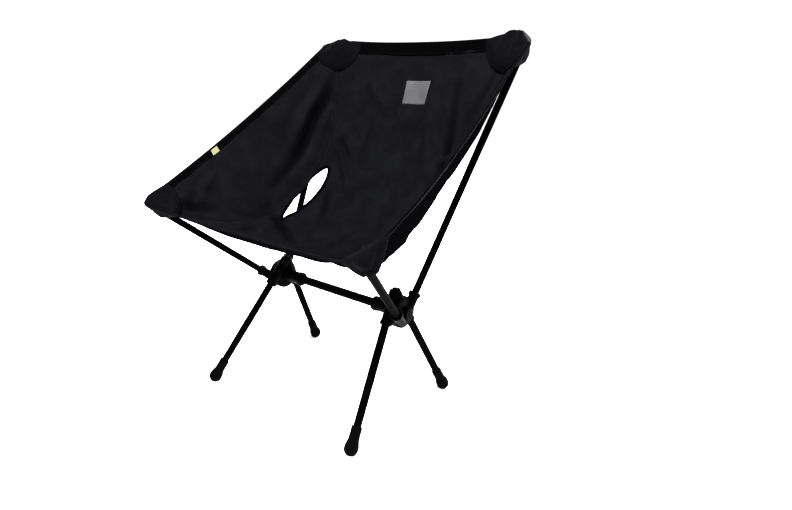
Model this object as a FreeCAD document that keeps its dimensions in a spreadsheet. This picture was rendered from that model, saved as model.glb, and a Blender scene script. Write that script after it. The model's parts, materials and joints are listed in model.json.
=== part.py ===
import FreeCAD, Part
import math
import os
import Sketcher

# Ultralight backpacking chair: a pole frame that plugs together and a sewn sling seat.
# Millimetres.  +Z is up, the front of the chair faces -Y and +X is the "right" side.
# The origin is on the floor, under the middle of the chair's box.

Vector = FreeCAD.Vector
Placement = FreeCAD.Placement
Rotation = FreeCAD.Rotation
SIDES = (("left", -1), ("right", 1))

# word, value, what it is
SIZES = [
    ("hub_spread", 154, "middle of each hub from the chair's centre plane"),
    ("hub_setback", -15.5, "y of both hubs"),
    ("hub_rise", 191, "height of the crossbar's axis"),
    ("disc_radius", 28.5, "round middle of the hub"),
    ("disc_thickness", 22, "hub disc, along X"),
    ("disc_rounding", 3.5, "rim of the hub disc"),
    ("seat_vertex_out", 3.5, "where the two seat pole axes meet, outward of the hub's middle"),
    ("seat_vertex_down", 22, "the same, below the hub's middle"),
    ("leg_vertex_in", 12.5, "where the two leg axes meet, inward of the hub's middle"),
    ("leg_vertex_up", 35, "the same, above the hub's middle"),
    ("front_pole_rake", 48.98, "degrees forward of upright"),
    ("front_pole_splay", 19.47, "degrees outward"),
    ("front_pole_reach", 313.5, "vertex to pole tip"),
    ("front_pole_mouth", 58, "vertex to socket mouth"),
    ("back_pole_rake", 28.08, "degrees back of upright"),
    ("back_pole_splay", 7.44, "degrees outward"),
    ("back_pole_reach", 544.1, "vertex to pole tip"),
    ("back_pole_mouth", 60, "vertex to socket mouth"),
    ("back_pole_joint", 290, "vertex to the joint between the lower and upper pole"),
    ("front_leg_rake", 37.07, "degrees forward"),
    ("front_leg_splay", 8.85, "degrees outward"),
    ("front_leg_reach", 274.0, "vertex to the middle of the foot's ball"),
    ("front_leg_mouth", 63, "vertex to socket mouth"),
    ("back_leg_rake", 26.87, "degrees back"),
    ("back_leg_splay", 8.57, "degrees outward"),
    ("back_leg_reach", 244.9, "vertex to the middle of the foot's ball"),
    ("back_leg_mouth", 70, "vertex to socket mouth"),
    ("leg_radius", 7, "leg tube outside"),
    ("pole_radius", 6.5, "seat pole outside"),
    ("tube_wall", 1, "wall of every tube"),
    ("crossbar_radius", 8, "crossbar outside"),
    ("crossbar_half", 137, "half the crossbar's length"),
    ("leg_plug_in", 30, "leg inside its socket"),
    ("pole_plug_in", 32, "seat pole inside its socket"),
    ("ferrule_plug_in", 30, "ferrule inside each half of the back pole"),
    ("slip", 0.2, "radial clearance of a plug-in joint"),
    ("end_gap", 0.3, "clearance at the end of a plug-in joint"),
    ("snug", 0.05, "radial clearance of pieces pressed together"),
    ("overlap", 1, "how far joined and cutting shapes run into their neighbours"),
    ("socket_wall", 2.5, "plastic around each bore"),
    ("collar_radius", 11, "ring at a socket's mouth"),
    ("collar_length", 8, "ring at a socket's mouth"),
    ("collar_rounding", 1.6, "both rims of the ring"),
    ("elbow_radius", 7, "plastic ball around the cord's bend at each vertex"),
    ("cord_radius", 1.4, "elastic shock cord"),
    ("cord_bore", 2.2, "channel for the cord in the hub"),
    ("cord_start", 6, "vertex to the end of each cord"),
    ("boss_radius", 12, "crossbar socket on the hub"),
    ("boss_mouth_radius", 13.5, "flare at the crossbar socket's mouth"),
    ("boss_mouth_length", 14, "length of that flare"),
    ("boss_reach", 59, "hub's middle to the crossbar socket's mouth"),
    ("bolt_radius", 2, "bolt that ties the hub to the crossbar"),
    ("bolt_length", 38, "bolt under its head"),
    ("bolt_head_radius", 3.8, "bolt head"),
    ("bolt_head_height", 2.6, "bolt head"),
    ("pedestal_radius", 10.4, "raised seat for the hub cap"),
    ("pedestal_height", 5.2, "raised seat for the hub cap"),
    ("cap_radius", 9.8, "round cap over the bolt"),
    ("cap_height", 4.2, "round cap over the bolt"),
    ("cap_roundness", 0.55, "rounding of the cap's rim, as a share of its height"),
    ("plug_length", 18, "plug in each end of the crossbar"),
    ("foot_ball_radius", 12, "rubber foot"),
    ("foot_neck_radius", 9.2, "rubber foot, top end"),
    ("foot_length", 36, "rubber foot, above the middle of its ball"),
    ("foot_waist", 15, "where the foot starts to swell, above the ball's middle"),
    ("foot_floor", 4, "leg tube's end above the ball's middle"),
    ("foot_roundness", 0.92, "rounding under the foot, as a share of the ball's radius"),
    ("foot_rim", 1.2, "rounding of the foot's top edge"),
    ("bush_length", 10, "bush that holds the cord in each leg"),
    ("bush_inset", 2, "leg tube's end to that bush"),
    ("tip_head_radius", 6.1, "plastic pole tip"),
    ("tip_head_length", 9, "plastic pole tip, outside the tube"),
    ("tip_spigot_length", 14, "plastic pole tip, inside the tube"),
    ("tip_roundness", 0.7, "rounding of the tip's end, as a share of its radius"),
    ("pocket_radius", 12, "sewn pocket over a pole tip"),
    ("pocket_inner", 7.1, "inside of the sewn pocket"),
    ("pocket_length", 34, "sewn pocket, below the pole's tip"),
    ("pocket_crown", 10, "sewn pocket, beyond the pole's tip"),
    ("pocket_taper", 2.5, "how much narrower the pocket's mouth is"),
    ("pocket_gap", 0.5, "space between the pole's tip and the pocket's closed end"),
    ("pocket_roundness", 0.85, "rounding of the closed end, as a share of the crown"),
    ("corner_clear", 17, "seat panels stay this far from a pole's tip"),
    ("sleeve_clear", 13, "seat panels stay this far from a pocket's axis"),
    ("room_below", 4, "that room starts this far below a pocket"),
    ("room_beyond", 20, "and ends this far beyond the pole's tip"),
    ("cloth", 1.5, "thickness of the seat cloth"),
    ("hem_cloth", 3, "thickness of the folded hems"),
    ("back_corner_in", 13, "sling's top corners lie this far in from the pole's axis"),
    ("front_hem_in", 24, "middle of the front edge, behind the pole tips"),
    ("front_hem_drop", 22, "middle of the front edge, below the pole tips"),
    ("top_hem_drop", 9, "middle of the top edge, below the pole tips"),
    ("seat_low_front_y", -70, "front control point of the seat's middle line"),
    ("seat_low_front_z", 240, "front control point of the seat's middle line"),
    ("seat_low_back_y", 130, "back control point of the seat's middle line"),
    ("seat_low_back_z", 230, "back control point of the seat's middle line"),
    ("seam_front_x", 136, "front control point of the seam beside the seat"),
    ("seam_front_y", -40, "front control point of the seam"),
    ("seam_front_z", 245, "front control point of the seam"),
    ("seam_back_x", 118, "back control point of the seam"),
    ("seam_back_y", 145, "back control point of the seam"),
    ("seam_back_z", 333, "back control point of the seam"),
    ("edge_front_ahead", 2, "front end of the side edge, ahead of the pole tip"),
    ("edge_front_rise", 4, "front end of the side edge, above the pole tip"),
    ("edge_back_out", 16, "back end of the side edge, outward of the pole tip"),
    ("edge_back_ahead", 11, "back end of the side edge, ahead of the pole tip"),
    ("edge_back_rise", 5, "back end of the side edge, above the pole tip"),
    ("hem_front_out", 18, "side edge, outward bow at its front third"),
    ("hem_front_ahead", 13, "side edge, bow ahead at its front third"),
    ("hem_front_drop", 32.5, "side edge, sag at its front third"),
    ("hem_back_out", 2.5, "side edge, outward bow at its back third"),
    ("hem_back_ahead", 3, "side edge, bow ahead at its back third"),
    ("hem_back_drop", 19.5, "side edge, sag at its back third"),
    ("bowl_power", 2.4, "how flat the seat is across its middle"),
    ("bowl_front_extra", 3.6, "added to that at the front edge, where the cloth hangs flatter"),
    ("wing_bow", 4, "outward bow of the side panels"),
    ("vent_length", 150, "leaf-shaped vent, end to end"),
    ("vent_inner", 21, "vent's edge nearer the middle, from its chord"),
    ("vent_outer", 17, "vent's edge nearer the seam, from its chord"),
    ("label_half", 0.1, "half the backrest label's width, as a share of seam to seam"),
    ("label_low", 0.897, "label's lower edge, as a share of the way up the seat"),
    ("label_high", 0.927, "label's upper edge, as a share of the way up the seat"),
    ("tag_low", 0.33, "side tag's front edge, as a share of the way up the side hem"),
    ("tag_high", 0.362, "side tag's back edge, as a share of the way up the side hem"),
    ("tag_depth", 0.08, "side tag's reach in from the edge, as a share of the side panel"),
    ("patch_thickness", 0.8, "label and tag"),
]


def make_sheet(doc):
    """Put every driving dimension in a spreadsheet cell with its own alias."""
    sheet = doc.addObject("Spreadsheet::Sheet", "Sizes")
    for row, (word, value, note) in enumerate(SIZES, start=1):
        sheet.set("A%d" % row, word)
        sheet.set("B%d" % row, str(value))
        sheet.set("C%d" % row, note)
        sheet.setAlias("B%d" % row, word)
    doc.recompute()
    return sheet


doc = FreeCAD.newDocument("backpacking_chair")
sheet = make_sheet(doc)
nodes = []


def size(word):
    """A driving dimension as a plain number."""
    return float(sheet.get(word))


def cell(formula):
    """Turn bare size words in a formula into references to the spreadsheet."""
    words = formula.replace("(", " ( ").replace(")", " ) ").split()
    known = {entry[0] for entry in SIZES}
    return " ".join("Sizes." + word if word in known else word for word in words)


def value(formula):
    """Evaluate a formula of size words as a plain number."""
    return float(sheet.evalExpression(cell(formula)))


def bind(obj, **formulas):
    """Bind properties of an object to formulas of sheet cells."""
    for prop, formula in formulas.items():
        obj.setExpression(prop, cell(formula))
    return obj


def keep(obj, name):
    """Label an object as one finished piece of the chair."""
    obj.Label = name
    nodes.append(obj)
    return obj


# ---------------------------------------------------------------- axes of the poles and legs

def hub_middle(side):
    return Vector(side * size("hub_spread"), size("hub_setback"), size("hub_rise"))


def vertex(kind, side):
    """Where the axes of the two seat poles, or of the two legs, meet in a hub."""
    if kind.endswith("pole"):
        offset = Vector(side * size("seat_vertex_out"), 0, -size("seat_vertex_down"))
    else:
        offset = Vector(-side * size("leg_vertex_in"), 0, size("leg_vertex_up"))
    return hub_middle(side) + offset


def direction(kind, side):
    """Unit vector from the vertex out along a pole or leg."""
    rake = math.radians(size(kind + "_rake"))
    splay = math.radians(size(kind + "_splay"))
    lengthwise = -1 if kind.startswith("front") else 1
    upward = 1 if kind.endswith("pole") else -1
    return Vector(side * math.sin(splay),
                  lengthwise * math.cos(splay) * math.sin(rake),
                  upward * math.cos(splay) * math.cos(rake))


def along(kind, side, distance):
    """Placement whose local Z runs out along a pole or leg, at a distance from its vertex."""
    way = direction(kind, side)
    return Placement(vertex(kind, side) + way * distance, Rotation(Vector(0, 0, 1), way))


def back_along(kind, side, distance):
    """The same place, but local Z runs back towards the hub."""
    way = direction(kind, side)
    return Placement(vertex(kind, side) + way * distance, Rotation(Vector(0, 0, 1), way * -1))


def crosswise(side, reach):
    """Placement whose local Z points outward along X, at a distance from the hub's middle."""
    way = Vector(side, 0, 0)
    return Placement(hub_middle(side) + way * reach, Rotation(Vector(0, 0, 1), way))


# ---------------------------------------------------------------- shapes that many pieces share

def new_body(name):
    return doc.addObject("PartDesign::Body", name + "_body")


def sketch_on(body, role, name):
    """A sketch on one of the body's own origin planes."""
    plane = next(item for item in body.Origin.OriginFeatures if item.Role == role)
    sketch = body.newObject("Sketcher::SketchObject", name)
    sketch.AttachmentSupport = [(plane, "")]
    sketch.MapMode = "FlatFace"
    return sketch


def hold(sketch, kind, geometry, point, formula):
    """Fix one coordinate of a sketch point with a formula of sheet cells."""
    if formula == "0":
        axis = -2 if kind == "DistanceX" else -1
        sketch.addConstraint(Sketcher.Constraint("PointOnObject", geometry, point, axis))
        return
    number = value(formula)
    index = sketch.addConstraint(Sketcher.Constraint(kind, -1, 1, geometry, point, number))
    sketch.setExpression("Constraints[%d]" % index, cell(formula))


def turned(name, outline):
    """A body made by turning an outline of (radius, height) formulas about its own Z axis."""
    body = new_body(name)
    sketch = sketch_on(body, "XZ_Plane", name + "_outline")
    corners = [Vector(value(radius), value(height), 0) for radius, height in outline]
    count = len(corners)
    for index in range(count):
        sketch.addGeometry(Part.LineSegment(corners[index], corners[(index + 1) % count]))
    for index in range(count):
        follower = (index + 1) % count
        sketch.addConstraint(Sketcher.Constraint("Coincident", index, 2, follower, 1))
    for index, (radius, height) in enumerate(outline):
        hold(sketch, "DistanceX", index, 1, radius)
        hold(sketch, "DistanceY", index, 1, height)
    turn = body.newObject("PartDesign::Revolution", name + "_turn")
    turn.Profile = sketch
    turn.ReferenceAxis = (sketch, ["V_Axis"])
    turn.Angle = 360
    body.Tip = turn
    return body


def rounded(body, radius, chosen):
    """Round the circular edges of a turned body that a test picks by (radius, height)."""
    doc.recompute()
    base = body.Tip
    names = []
    for index, edge in enumerate(base.Shape.Edges, start=1):
        round_edge = hasattr(edge.Curve, "Radius") and edge.isClosed()
        if round_edge and chosen(edge.Curve.Radius, edge.Curve.Center.z):
            names.append("Edge%d" % index)
    fillet = body.newObject("PartDesign::Fillet", body.Name + "_round")
    fillet.Base = (base, names)
    bind(fillet, Radius=radius)
    body.Tip = fillet
    return body


def tube(name, outer, length):
    """A round tube of the common wall, padded from a sketch of two circles."""
    body = new_body(name)
    sketch = sketch_on(body, "XY_Plane", name + "_ring")
    for formula in (outer, outer + " - tube_wall"):
        circle = Part.Circle(Vector(0, 0, 0), Vector(0, 0, 1), value(formula))
        geometry = sketch.addGeometry(circle)
        sketch.addConstraint(Sketcher.Constraint("Coincident", geometry, 3, -1, 1))
        index = sketch.addConstraint(Sketcher.Constraint("Radius", geometry, value(formula)))
        sketch.setExpression("Constraints[%d]" % index, cell(formula))
    pad = body.newObject("PartDesign::Pad", name + "_pad")
    pad.Profile = sketch
    bind(pad, Length=length)
    body.Tip = pad
    return body


def rod(name, radius, length, placement):
    """A plain cylinder along its placement's local Z."""
    cylinder = doc.addObject("Part::Cylinder", name)
    bind(cylinder, Radius=radius, Height=length)
    cylinder.Placement = placement
    return cylinder


def ball(name, radius, centre):
    sphere = doc.addObject("Part::Sphere", name)
    bind(sphere, Radius=radius)
    sphere.Placement = Placement(centre, Rotation())
    return sphere


def fused(name, shapes):
    fusion = doc.addObject("Part::MultiFuse", name)
    fusion.Shapes = shapes
    return fusion


def cut(name, base, tool):
    result = doc.addObject("Part::Cut", name)
    result.Base = base
    result.Tool = tool
    return result


# ---------------------------------------------------------------- hubs

POLES = ("front_pole", "back_pole", "front_leg", "back_leg")


def tube_radius(kind):
    return "pole_radius" if kind.endswith("pole") else "leg_radius"


def plug_in(kind):
    return "pole_plug_in" if kind.endswith("pole") else "leg_plug_in"


def socket(kind, tag, side):
    """Plastic sleeve around one bore, from the vertex to the mouth."""
    name = "%s_socket_%s" % (kind, tag)
    return rod(name, tube_radius(kind) + " + slip + socket_wall", kind + "_mouth",
               along(kind, side, 0))


def collar(kind, tag, side):
    """Raised ring at a socket's mouth, with both rims rounded."""
    name = "%s_collar_%s" % (kind, tag)
    outline = [("0", "0"), ("collar_radius", "0"), ("collar_radius", "collar_length"),
               ("0", "collar_length")]
    body = rounded(turned(name, outline), "collar_rounding", lambda radius, height: True)
    body.Placement = along(kind, side, size(kind + "_mouth") - size("collar_length"))
    return body


def disc(tag, side):
    """Round middle of the hub, with its rims rounded."""
    outline = [("0", "0"), ("disc_radius", "0"), ("disc_radius", "disc_thickness"),
               ("0", "disc_thickness")]
    body = rounded(turned("disc_" + tag, outline), "disc_rounding", lambda radius, height: True)
    body.Placement = crosswise(side, -size("disc_thickness") / 2)
    return body


def boss(tag, side):
    """Crossbar socket with a flared mouth, turned about X."""
    outline = [("0", "0"), ("boss_mouth_radius", "0"),
               ("boss_mouth_radius", "boss_mouth_length / 2"),
               ("boss_radius", "boss_mouth_length"), ("boss_radius", "boss_reach"),
               ("0", "boss_reach")]
    rim = size("boss_mouth_radius")
    body = rounded(turned("boss_" + tag, outline), "collar_rounding",
                   lambda radius, height: abs(radius - rim) < 0.01 and height < 0.01)
    body.Placement = crosswise(side, -size("boss_reach"))
    return body


def hub_bores(tag, side):
    """Everything that is hollow in a hub, as one tool."""
    tools = []
    for kind in POLES:
        depth = size(plug_in(kind)) + size("end_gap")
        tools.append(rod("%s_bore_%s" % (kind, tag), tube_radius(kind) + " + slip",
                         plug_in(kind) + " + end_gap + overlap",
                         along(kind, side, size(kind + "_mouth") - depth)))
        tools.append(rod("%s_channel_%s" % (kind, tag), "cord_bore", kind + "_mouth",
                         along(kind, side, 0)))
    for kind in ("front_pole", "front_leg"):
        tools.append(ball("%s_elbow_bore_%s" % (kind, tag), "cord_bore + slip",
                          vertex(kind, side)))
    tools.append(rod("crossbar_bore_" + tag, "crossbar_radius + slip",
                     "boss_reach - hub_spread + crossbar_half + end_gap",
                     crosswise(side, -size("boss_reach"))))
    tools.append(rod("bolt_bore_" + tag, "bolt_radius + slip", "boss_reach + disc_thickness",
                     crosswise(side, -size("boss_reach"))))
    face = size("disc_thickness") / 2 + size("pedestal_height")
    tools.append(rod("bolt_recess_" + tag, "bolt_head_radius + slip",
                     "bolt_head_height + slip * 2 + overlap",
                     crosswise(side, face - value("bolt_head_height + slip * 2"))))
    return fused("hub_hollow_" + tag, tools)


def make_hub(tag, side):
    """Moulded hub: disc, crossbar boss, four sockets and their collars, less the bores."""
    solids = [disc(tag, side), boss(tag, side)]
    for kind in POLES:
        solids.append(socket(kind, tag, side))
    for kind in ("front_pole", "back_pole", "front_leg"):
        solids.append(collar(kind, tag, side))
    for kind in ("front_pole", "front_leg"):
        solids.append(ball("%s_elbow_%s" % (kind, tag), "elbow_radius", vertex(kind, side)))
    solids.append(rod("pedestal_" + tag, "pedestal_radius", "pedestal_height + overlap",
                      crosswise(side, size("disc_thickness") / 2 - size("overlap"))))
    outer = fused("hub_outer_" + tag, solids)
    keep(cut("hub_cut_" + tag, outer, hub_bores(tag, side)), "hub_" + tag)


def make_hub_fixings(tag, side):
    """Bolt through the hub's middle, the plug that it screws into, and the cap over its head."""
    face = size("disc_thickness") / 2 + size("pedestal_height")
    head = face - size("bolt_head_height")
    bolt = turned("hub_bolt_" + tag, [
        ("0", "bolt_head_height"), ("bolt_head_radius", "bolt_head_height"),
        ("bolt_head_radius", "0"), ("bolt_radius", "0"), ("bolt_radius", "0 - bolt_length"),
        ("0", "0 - bolt_length")])
    bolt.Placement = crosswise(side, head - size("slip"))
    keep(bolt, "hub_bolt_" + tag)
    rim = size("cap_radius")
    cap = turned("hub_cap_" + tag, [
        ("0", "end_gap"), ("cap_radius", "end_gap"), ("cap_radius", "cap_height"),
        ("0", "cap_height")])
    rounded(cap, "cap_height * cap_roundness",
            lambda radius, height: abs(radius - rim) < 0.01 and height > 1)
    cap.Placement = crosswise(side, face)
    keep(cap, "hub_cap_" + tag)
    plug = turned("crossbar_plug_" + tag, [
        ("bolt_radius + snug", "0"), ("crossbar_radius - tube_wall - snug", "0"),
        ("crossbar_radius - tube_wall - snug", "plug_length"),
        ("bolt_radius + snug", "plug_length")])
    reach = size("crossbar_half") - size("hub_spread") - size("plug_length")
    plug.Placement = crosswise(side, reach)
    keep(plug, "crossbar_plug_" + tag)


def make_crossbar():
    body = tube("crossbar", "crossbar_radius", "crossbar_half * 2")
    start = Vector(-size("crossbar_half"), size("hub_setback"), size("hub_rise"))
    body.Placement = Placement(start, Rotation(Vector(0, 0, 1), Vector(1, 0, 0)))
    keep(body, "crossbar")


# ---------------------------------------------------------------- legs and feet

def floor_block():
    """A block under the floor that trims the feet flat."""
    block = doc.addObject("Part::Box", "floor_block")
    block.Length = 600
    block.Width = 600
    block.Height = 40
    block.Placement = Placement(Vector(-300, -300, -40), Rotation())
    return block


def make_leg(kind, tag, side, floor):
    """One leg: tube, the bush that holds its cord, the cord and the rubber foot."""
    start = size(kind + "_mouth") - size("leg_plug_in")
    end = kind + "_reach - foot_floor"
    length = "%s - %s_mouth + leg_plug_in" % (end, kind)
    leg = tube("%s_%s" % (kind, tag), "leg_radius", length)
    leg.Placement = along(kind, side, start)
    keep(leg, "%s_%s" % (kind, tag))

    bush = turned("%s_bush_%s" % (kind, tag), [
        ("cord_bore", "0"), ("leg_radius - tube_wall - snug", "0"),
        ("leg_radius - tube_wall - snug", "bush_length"), ("cord_bore", "bush_length")])
    bush.Placement = along(kind, side, value(end + " - bush_inset - bush_length"))
    keep(bush, "%s_bush_%s" % (kind, tag))

    cord = rod("%s_cord_%s" % (kind, tag), "cord_radius",
               end + " - bush_inset - bush_length - cord_start",
               along(kind, side, size("cord_start")))
    keep(cord, "%s_cord_%s" % (kind, tag))
    make_foot(kind, tag, side, floor)


def make_foot(kind, tag, side, floor):
    """Rubber foot: a sleeve on the leg that swells into a ball, cut flat on the floor."""
    foot = turned("%s_foot_%s" % (kind, tag), [
        ("0", "0 - foot_ball_radius"),
        ("foot_ball_radius", "0 - foot_ball_radius"),
        ("foot_ball_radius", "foot_floor"),
        ("foot_neck_radius", "foot_waist"),
        ("foot_neck_radius", "foot_length"),
        ("leg_radius + snug", "foot_length"),
        ("leg_radius + snug", "foot_floor - snug"),
        ("0", "foot_floor - snug")])
    ball_radius = size("foot_ball_radius")
    rounded(foot, "foot_ball_radius * foot_roundness",
            lambda radius, height: abs(radius - ball_radius) < 0.01 and height < 0)
    neck = size("foot_neck_radius")
    waist = size("foot_waist")
    rounded(foot, "foot_rim",
            lambda radius, height: abs(radius - neck) < 0.01 and height > waist + 1)
    foot.Placement = back_along(kind, side, size(kind + "_reach"))
    trimmed = cut("%s_foot_trim_%s" % (kind, tag), foot, floor)
    keep(trimmed, "%s_foot_%s" % (kind, tag))


# ---------------------------------------------------------------- seat poles

def make_tip(kind, tag, side):
    """Plastic tip pressed into the end of a seat pole."""
    tip = turned("%s_tip_%s" % (kind, tag), [
        ("0", "0"), ("pole_radius - tube_wall - snug", "0"),
        ("pole_radius - tube_wall - snug", "tip_spigot_length"),
        ("tip_head_radius", "tip_spigot_length"),
        ("tip_head_radius", "tip_spigot_length + tip_head_length"),
        ("0", "tip_spigot_length + tip_head_length")])
    head = size("tip_head_radius")
    back = size("tip_spigot_length") + size("tip_head_length")
    rounded(tip, "tip_head_radius * tip_roundness",
            lambda radius, height: abs(radius - head) < 0.01 and height > back - 1)
    tip.Placement = along(kind, side, size(kind + "_reach") - back)
    keep(tip, "%s_tip_%s" % (kind, tag))


def make_pocket(kind, tag, side):
    """Sewn pocket of the seat over a pole's tip, as a plain closed-end sleeve."""
    pocket = turned("%s_pocket_%s" % (kind, tag), [
        ("pocket_inner", "0"), ("pocket_radius - pocket_taper", "0"),
        ("pocket_radius", "pocket_length"),
        ("pocket_radius", "pocket_length + pocket_crown"),
        ("0", "pocket_length + pocket_crown"),
        ("0", "pocket_length + pocket_gap"), ("pocket_inner", "pocket_length + pocket_gap")])
    outer = size("pocket_radius")
    shoulder = size("pocket_length")
    rounded(pocket, "pocket_crown * pocket_roundness",
            lambda radius, height: abs(radius - outer) < 0.01 and height > shoulder + 1)
    pocket.Placement = along(kind, side, size(kind + "_reach") - size("pocket_length"))
    keep(pocket, "%s_pocket_%s" % (kind, tag))


def make_front_pole(tag, side):
    kind = "front_pole"
    length = "front_pole_reach - tip_head_length - front_pole_mouth + pole_plug_in"
    pole = tube("front_pole_" + tag, "pole_radius", length)
    pole.Placement = along(kind, side, size("front_pole_mouth") - size("pole_plug_in"))
    keep(pole, "front_pole_" + tag)
    cord = rod("front_pole_cord_" + tag, "cord_radius",
               "front_pole_reach - tip_head_length - tip_spigot_length - overlap - cord_start",
               along(kind, side, size("cord_start")))
    keep(cord, "front_pole_cord_" + tag)
    make_tip(kind, tag, side)
    make_pocket(kind, tag, side)


def make_back_pole(tag, side):
    """Back pole in two halves with a ferrule between them, and its two stretches of cord."""
    kind = "back_pole"
    joint = size("back_pole_joint")
    lower = tube("back_pole_lower_" + tag, "pole_radius",
                 "back_pole_joint - back_pole_mouth + pole_plug_in")
    lower.Placement = along(kind, side, size("back_pole_mouth") - size("pole_plug_in"))
    keep(lower, "back_pole_lower_" + tag)
    upper = tube("back_pole_upper_" + tag, "pole_radius",
                 "back_pole_reach - tip_head_length - back_pole_joint - end_gap")
    upper.Placement = along(kind, side, joint + size("end_gap"))
    keep(upper, "back_pole_upper_" + tag)
    outside = "pole_radius - tube_wall - slip"
    ferrule = turned("back_pole_ferrule_" + tag, [
        (outside + " - tube_wall", "0"), (outside, "0"), (outside, "ferrule_plug_in * 2"),
        (outside + " - tube_wall", "ferrule_plug_in * 2")])
    ferrule.Placement = along(kind, side, joint - size("ferrule_plug_in"))
    keep(ferrule, "back_pole_ferrule_" + tag)
    inner = rod("back_pole_cord_lower_" + tag, "cord_radius", "back_pole_joint - cord_start - overlap",
                along(kind, side, size("cord_start")))
    keep(inner, "back_pole_cord_lower_" + tag)
    outer = rod("back_pole_cord_upper_" + tag, "cord_radius",
                "back_pole_reach - tip_head_length - tip_spigot_length - overlap - back_pole_joint",
                along(kind, side, joint))
    keep(outer, "back_pole_cord_upper_" + tag)
    make_tip(kind, tag, side)
    make_pocket(kind, tag, side)


# ---------------------------------------------------------------- sling seat

def bezier(points, ratio):
    """Point on a cubic Bezier curve."""
    rest = 1 - ratio
    weights = (rest ** 3, 3 * rest ** 2 * ratio, 3 * rest * ratio ** 2, ratio ** 3)
    total = Vector(0, 0, 0)
    for weight, point in zip(weights, points):
        total = total + point * weight
    return total


def tip_of(kind, side):
    """Outer end of a seat pole."""
    return vertex(kind, side) + direction(kind, side) * size(kind + "_reach")


def corner(kind):
    """Right-hand corner of the sling: at the front pole's tip, or just inside the back one."""
    tip = tip_of(kind, 1)
    if kind == "back_pole":
        tip = tip + Vector(-0.79, -0.43, 0.43) * size("back_corner_in")
    return tip


def set_back(x, y, z):
    """A point given from the hubs' own plane, in the chair's frame."""
    return Vector(x, y + size("hub_setback"), z)


def side_edge():
    """Control points of the right side edge, from beside one pole tip to beside the other."""
    front = tip_of("front_pole", 1)
    front = front + Vector(0, -size("edge_front_ahead"), size("edge_front_rise"))
    back = tip_of("back_pole", 1)
    back = back + Vector(size("edge_back_out"), -size("edge_back_ahead"), size("edge_back_rise"))
    third = (back - front) / 3
    bow_front = Vector(size("hem_front_out"), -size("hem_front_ahead"), -size("hem_front_drop"))
    bow_back = Vector(size("hem_back_out"), -size("hem_back_ahead"), -size("hem_back_drop"))
    return [front, front + third + bow_front, front + third * 2 + bow_back, back]


def seam():
    """Control points of the seam between the seat panel and the right side panel."""
    front_control = set_back(size("seam_front_x"), size("seam_front_y"), size("seam_front_z"))
    back_control = set_back(size("seam_back_x"), size("seam_back_y"), size("seam_back_z"))
    return [corner("front_pole"), front_control, back_control, corner("back_pole")]


def middle_line():
    """Control points of the seat's line in the chair's centre plane, front to top."""
    front = corner("front_pole")
    back = corner("back_pole")
    return [Vector(0, front.y + size("front_hem_in"), front.z - size("front_hem_drop")),
            set_back(0, size("seat_low_front_y"), size("seat_low_front_z")),
            set_back(0, size("seat_low_back_y"), size("seat_low_back_z")),
            Vector(0, back.y, back.z - size("top_hem_drop"))]


BOWL_FADE = 8             # how fast the flatter hang of the front edge dies away
VENT_ACROSS = 0.86        # vent's chord, as a share of the way from the middle to the seam
VENT_ENDS = (0.40, 0.68)  # vent's ends, as shares of the way up the seat
VENT_SPAN = (0.70, 0.92)  # two places across the seat that give the vent's crosswise line
VENT_BLOCK = 70           # thickness of the block that cuts the vent
MIDDLE_LINE = middle_line()
SEAM = seam()
SIDE_EDGE = side_edge()


def seat_point(across, ratio):
    """Seat panel: across is -1 to 1 from seam to seam, ratio is 0 at the front, 1 at the top."""
    middle = bezier(MIDDLE_LINE, ratio)
    beside = bezier(SEAM, ratio)
    power = size("bowl_power") + size("bowl_front_extra") * (1 - ratio) ** BOWL_FADE
    lift = abs(across) ** power
    return Vector(beside.x * across,
                  middle.y + (beside.y - middle.y) * lift,
                  middle.z + (beside.z - middle.z) * lift)


def wing_point(outward, ratio, side):
    """Side panel: outward is 0 at the seam and 1 at the side edge."""
    beside = bezier(SEAM, ratio)
    edge = bezier(SIDE_EDGE, ratio)
    swell = 16 * outward * (1 - outward) * ratio * (1 - ratio) * size("wing_bow")
    point = beside + (edge - beside) * outward + Vector(0.75, 0.25, -0.6) * swell
    return Vector(side * point.x, point.y, point.z)


def spread(low, high, count):
    return [low + (high - low) * index / (count - 1) for index in range(count)]


def cloth_solid(name, point_at, first, second, thickness):
    """A closed sheet of cloth: a smooth surface through a grid of points, thickened.

    A positive thickness grows along first x second: for the seat panel that is up, to the
    sitter's side, so the seat's own cloth has a negative one.
    """
    grid = [[point_at(a, b) for b in second] for a in first]
    surface = Part.BSplineSurface()
    surface.interpolate(grid)
    solid = surface.toShape().makeOffsetShape(thickness, 0.01, fill=True)
    feature = doc.addObject("Part::Feature", name)
    feature.Shape = solid
    feature.Placement = Placement()
    return feature


def clearances():
    """Room around the pole tips and their pockets, which the seat panels keep out of."""
    tools = []
    for tag, side in SIDES:
        for kind in ("front_pole", "back_pole"):
            start = size(kind + "_reach") - size("pocket_length") - size("room_below")
            tools.append(ball("%s_tip_room_%s" % (kind, tag), "corner_clear",
                              tip_of(kind, side)))
            tools.append(rod("%s_sleeve_room_%s" % (kind, tag), "sleeve_clear",
                             "room_below + pocket_length + room_beyond",
                             along(kind, side, start)))
    return fused("corner_room", tools)


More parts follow.
